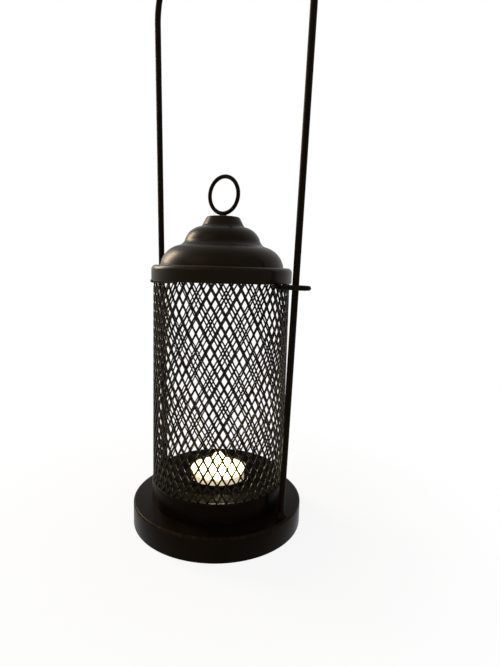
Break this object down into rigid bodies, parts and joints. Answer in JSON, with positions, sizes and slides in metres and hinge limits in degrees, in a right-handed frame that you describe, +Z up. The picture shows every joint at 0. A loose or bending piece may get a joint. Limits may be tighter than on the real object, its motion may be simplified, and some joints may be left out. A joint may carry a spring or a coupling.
{
  "type": "tealight lantern",
  "caption": "Round tealight lantern: an expanded-metal mesh cage with a stepped domed roof slides up a tall arched rod handle by its ring, baring a tealight sunk in the drum below.",
  "frame": {"origin": "centre of the underside of the base", "axes": "+Z up along the lantern's axis; the handle, the guide eyes and the ring lie in the XZ plane"},
  "size_m": [0.1262, 0.111, 0.3858],
  "materials": {
    "lantern_paint": "satin brown-black",
    "mesh_paint": "satin brown-black",
    "rod_paint": "satin brown-black",
    "zinc": "zinc plated",
    "bottom_felt": "felt",
    "clear_cup": "clear",
    "wax": "translucent wax",
    "wick_cotton": "charred cotton",
    "tab_tin": "plain"
  },
  "bodies": {
    "stand": {"base_pan": "lantern_paint", "bottom_pad": "bottom_felt", "plinth": "lantern_paint", "plinth_rivets": "zinc", "tealight_seat": "lantern_paint", "handle_frame": "rod_paint", "leg_collars": "rod_paint", "leg_washers": "zinc", "leg_nuts": "zinc"},
    "cage": {"mesh_cage": "mesh_paint", "top_hoop": "mesh_paint", "roof": "lantern_paint", "roof_crown": "lantern_paint", "guide_eye_right": "rod_paint", "guide_eye_left": "rod_paint", "ring_boss": "lantern_paint", "lifting_ring": "rod_paint", "ring_nut": "zinc"},
    "tealight": {"tealight_cup": "clear_cup", "tealight_wax": "wax", "tealight_wick": "wick_cotton", "wick_tab": "tab_tin"}
  },
  "joints": [
    {"name": "cage_lift", "type": "slide", "parent": "stand", "child": "cage", "axis": [0, 0, 1], "range_m": [0, 0.155]},
    {"name": "tealight_lift", "type": "slide", "parent": "stand", "child": "tealight", "axis": [0, 0, 1], "range_m": [0, 0.03]}
  ]
}
